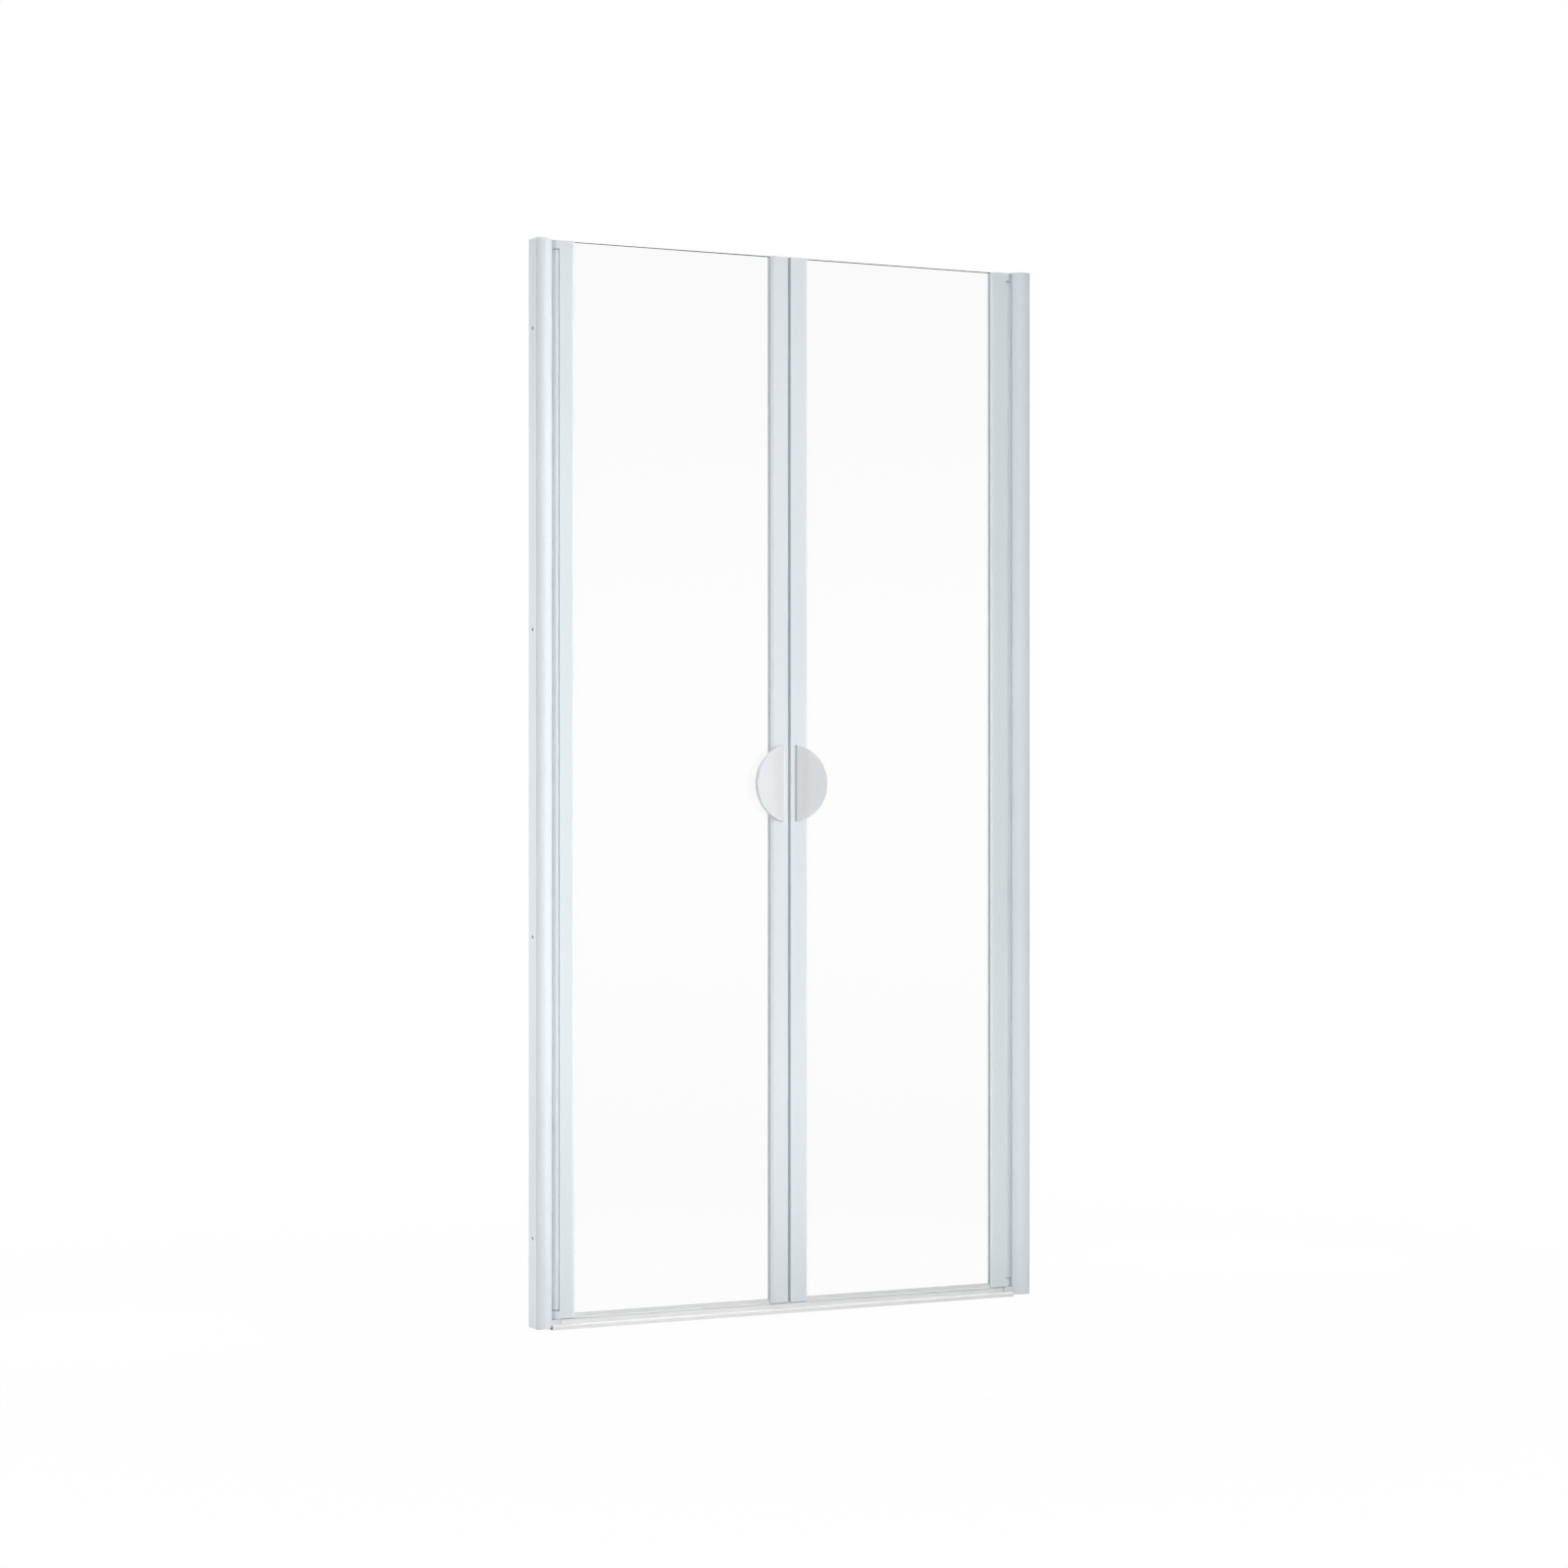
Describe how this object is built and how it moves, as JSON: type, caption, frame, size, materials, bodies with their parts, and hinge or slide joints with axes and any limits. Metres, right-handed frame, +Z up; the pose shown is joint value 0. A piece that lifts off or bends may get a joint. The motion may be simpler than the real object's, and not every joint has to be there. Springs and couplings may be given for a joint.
{
  "type": "hinged shower door",
  "caption": "Niche shower door: clear glass leaves in slim white profiles swing in and out on frame barrels, with half-moon handles, closing seals and a low sill.",
  "frame": {"origin": "floor level at the middle of the opening, in the mid-plane of the glass, on the sill's underside", "axes": "+X to the right seen from outside, +Y into the shower (the front faces -Y), +Z up"},
  "size_m": [1, 0.0447, 1.92],
  "materials": {
    "white_coat": "satin",
    "white_sill": "satin",
    "white_plastic": "satin",
    "white_handle": "satin",
    "steel": "satin",
    "bearing_plastic": "matte",
    "soft_seal": "matte",
    "pale_seal": "matte",
    "clear_seal": "gloss",
    "magnet": "matte",
    "clear_glass": "polished"
  },
  "bodies": {
    "frame": {"sill": "white_sill", "left_wall_channel": "white_coat", "left_frame_profile": "white_coat", "left_frame_cap": "white_plastic", "left_clamp_screws": "steel", "left_barrel_plugs": "bearing_plastic", "left_bottom_pivot_pin": "steel", "left_top_pivot_pin": "steel", "left_hinge_foot": "white_plastic", "left_foot_screws": "steel", "left_thrust_washer": "bearing_plastic", "right_wall_channel": "white_coat", "right_frame_profile": "white_coat", "right_frame_cap": "white_plastic", "right_clamp_screws": "steel", "right_barrel_plugs": "bearing_plastic", "right_bottom_pivot_pin": "steel", "right_top_pivot_pin": "steel", "right_hinge_foot": "white_plastic", "right_foot_screws": "steel", "right_thrust_washer": "bearing_plastic"},
    "left_leaf": {"left_hinge_profile": "white_coat", "left_hinge_seal": "soft_seal", "left_top_hinge_arm": "white_coat", "left_bottom_hinge_arm": "white_coat", "left_arm_bushes": "bearing_plastic", "left_arm_screws": "steel", "left_closing_profile": "white_coat", "left_closing_caps": "white_plastic", "left_closing_seal": "soft_seal", "left_magnet_strip": "magnet", "left_glass": "clear_glass", "left_hinge_gasket": "pale_seal", "left_closing_gasket": "pale_seal", "left_drip_seal": "clear_seal", "left_handle": "white_handle", "left_handle_screws": "steel"},
    "right_leaf": {"right_hinge_profile": "white_coat", "right_hinge_seal": "soft_seal", "right_top_hinge_arm": "white_coat", "right_bottom_hinge_arm": "white_coat", "right_arm_bushes": "bearing_plastic", "right_arm_screws": "steel", "right_closing_profile": "white_coat", "right_closing_caps": "white_plastic", "right_closing_seal": "soft_seal", "right_magnet_strip": "magnet", "right_glass": "clear_glass", "right_hinge_gasket": "pale_seal", "right_closing_gasket": "pale_seal", "right_drip_seal": "clear_seal", "right_handle": "white_handle", "right_handle_screws": "steel"}
  },
  "joints": [
    {"name": "left_leaf_swing", "type": "hinge", "parent": "frame", "child": "left_leaf", "pos_m": [-0.4565, 0, 0], "axis": [0, 0, 1], "range_deg": [-90, 90]},
    {"name": "right_leaf_swing", "type": "hinge", "parent": "frame", "child": "right_leaf", "pos_m": [0.4565, 0, 0], "axis": [0, 0, 1], "range_deg": [-90, 90]}
  ]
}
